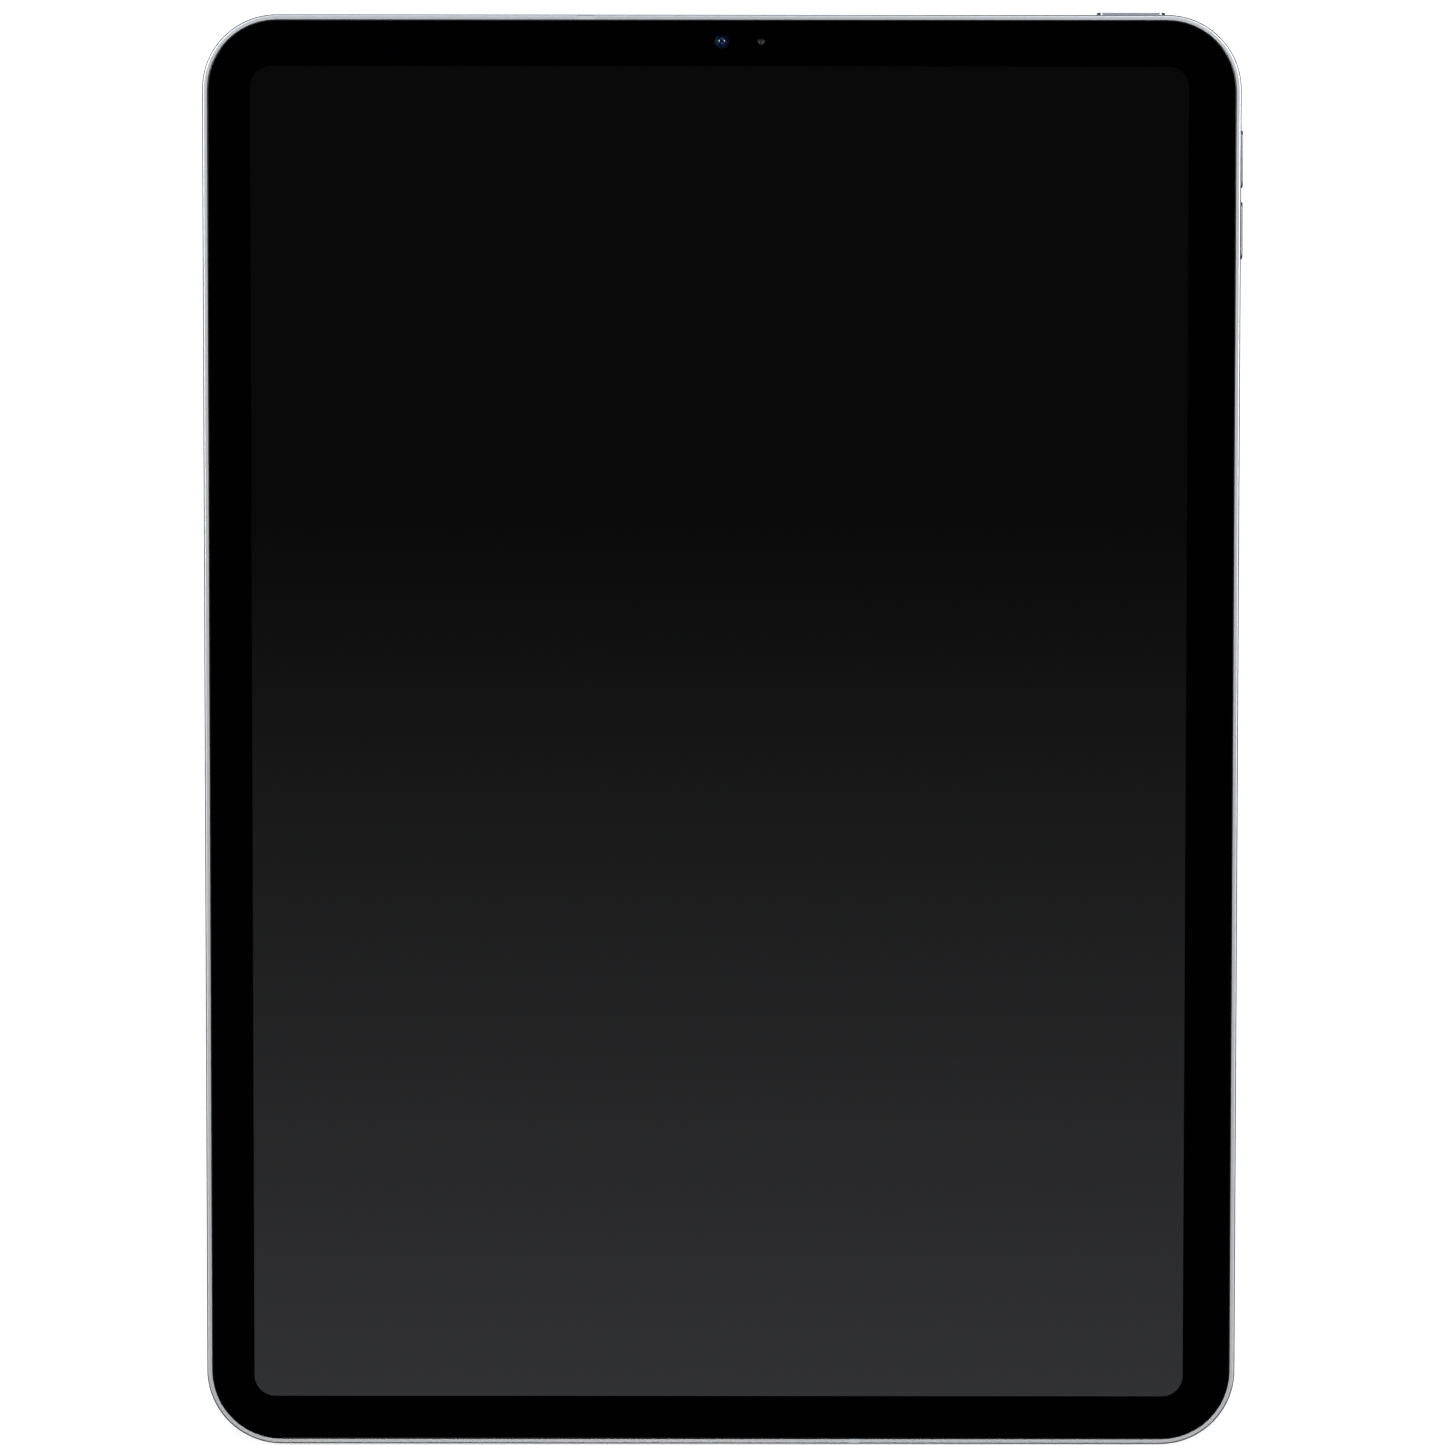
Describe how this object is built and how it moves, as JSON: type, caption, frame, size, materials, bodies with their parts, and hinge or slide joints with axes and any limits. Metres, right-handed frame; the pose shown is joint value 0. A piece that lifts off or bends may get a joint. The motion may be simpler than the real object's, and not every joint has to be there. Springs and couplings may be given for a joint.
{
  "type": "tablet computer",
  "caption": "Slim slate tablet computer with a black glass front, rounded aluminium body, side buttons, rear camera plateau and a card tray.",
  "frame": {"origin": "on the surface that the tablet lies on, under the middle of its outline", "axes": "+Z out of the screen, +Y towards the end with the front camera and the power button, +X to the right as the screen is read"},
  "size_m": [0.1788, 0.248, 0.007],
  "materials": {
    "anodised_shell": "bead-blasted and anodised, satin silver grey",
    "anodised_button": "bead-blasted and anodised, satin silver grey",
    "black_glass": "polished cover glass with black ink printed on its back",
    "lens_glass": "polished, coated lens glass",
    "lens_barrel": "matte black moulded barrel",
    "black_adhesive": "black foam tape",
    "display_cell": "laminated display cell, off",
    "backlight_film": "white diffuser films",
    "plated_steel": "pressed, plated sheet",
    "flex_circuit": "polyimide flexible circuit",
    "insert_plastic": "moulded plastic, colour matched grey",
    "gold_contact": "plated contact",
    "dark_ring": "machined and anodised dark grey",
    "module_black": "moulded black",
    "sensor_plastic": "smoked diffuser",
    "flash_diffuser": "frosted lens over a phosphor",
    "circuit_board": "solder mask over glass-filled epoxy",
    "chip_package": "moulded epoxy package",
    "graphite_sheet": "graphite film",
    "battery_pouch": "black aluminium laminate pouch",
    "steel_mesh": "woven black steel mesh",
    "copper_antenna": "copper film and wire",
    "cable_jacket": "black coaxial jacket",
    "magnet_nickel": "nickel plated magnet",
    "steel_screw": "machined steel"
  },
  "bodies": {
    "body": {"ambient_light_sensor": "sensor_plastic", "antenna_inserts": "insert_plastic", "antennas": "copper_antenna", "backlight_unit": "backlight_film", "battery_adhesive": "black_adhesive", "battery_board": "circuit_board", "battery_left": "battery_pouch", "battery_right": "battery_pouch", "board_chips": "chip_package", "board_screws": "steel_screw", "board_shields": "plated_steel", "bracket_screws": "steel_screw", "camera_bracket": "plated_steel", "camera_plateau": "anodised_shell", "case_magnets": "magnet_nickel", "coax_cables": "cable_jacket", "contact_base": "insert_plastic", "contact_pads": "gold_contact", "cover_glass": "black_glass", "depth_sensor": "module_black", "display_backplate": "plated_steel", "display_flex": "flex_circuit", "display_panel": "display_cell", "flash_module": "flash_diffuser", "front_camera_lens": "lens_glass", "front_camera_module": "module_black", "front_sensor_bracket": "plated_steel", "glass_adhesive": "black_adhesive", "infrared_camera": "module_black", "infrared_projector": "module_black", "lens_rings": "dark_ring", "lens_windows": "lens_glass", "logic_board": "circuit_board", "microphones": "plated_steel", "power_switch": "plated_steel", "power_switch_bracket": "plated_steel", "processor": "chip_package", "rear_housing": "anodised_shell", "sim_reader": "plated_steel", "speaker_bottom_left": "module_black", "speaker_bottom_right": "module_black", "speaker_meshes": "steel_mesh", "speaker_top_left": "module_black", "speaker_top_right": "module_black", "stylus_charging_coil": "copper_antenna", "stylus_charging_window": "insert_plastic", "thermal_sheet": "graphite_sheet", "ultrawide_camera_module": "module_black", "ultrawide_lens": "lens_barrel", "usb_connector": "plated_steel", "usb_flex": "flex_circuit", "volume_bracket": "plated_steel", "volume_switches": "plated_steel", "wide_camera_module": "module_black"},
    "power_button": {"power_button": "anodised_button"},
    "volume_up_button": {"volume_up_button": "anodised_button"},
    "volume_down_button": {"volume_down_button": "anodised_button"},
    "card_tray": {"sim_tray": "anodised_button"},
    "focus_barrel": {"wide_lens_barrel": "lens_barrel"}
  },
  "joints": [
    {"name": "power_press", "type": "slide", "parent": "body", "child": "power_button", "axis": [0, -1, 0], "range_m": [0, 0.0003], "stiffness_N_per_m": 5000, "springref_m": -0.00005},
    {"name": "volume_up_press", "type": "slide", "parent": "body", "child": "volume_up_button", "axis": [-1, 0, 0], "range_m": [0, 0.0003], "stiffness_N_per_m": 5000, "springref_m": -0.00005},
    {"name": "volume_down_press", "type": "slide", "parent": "body", "child": "volume_down_button", "axis": [-1, 0, 0], "range_m": [0, 0.0003], "stiffness_N_per_m": 5000, "springref_m": -0.00005},
    {"name": "card_tray_slide", "type": "slide", "parent": "body", "child": "card_tray", "axis": [1, 0, 0], "range_m": [0, 0.016]},
    {"name": "camera_focus", "type": "slide", "parent": "body", "child": "focus_barrel", "axis": [0, 0, -1], "range_m": [0, 0.0003], "stiffness_N_per_m": 60}
  ]
}
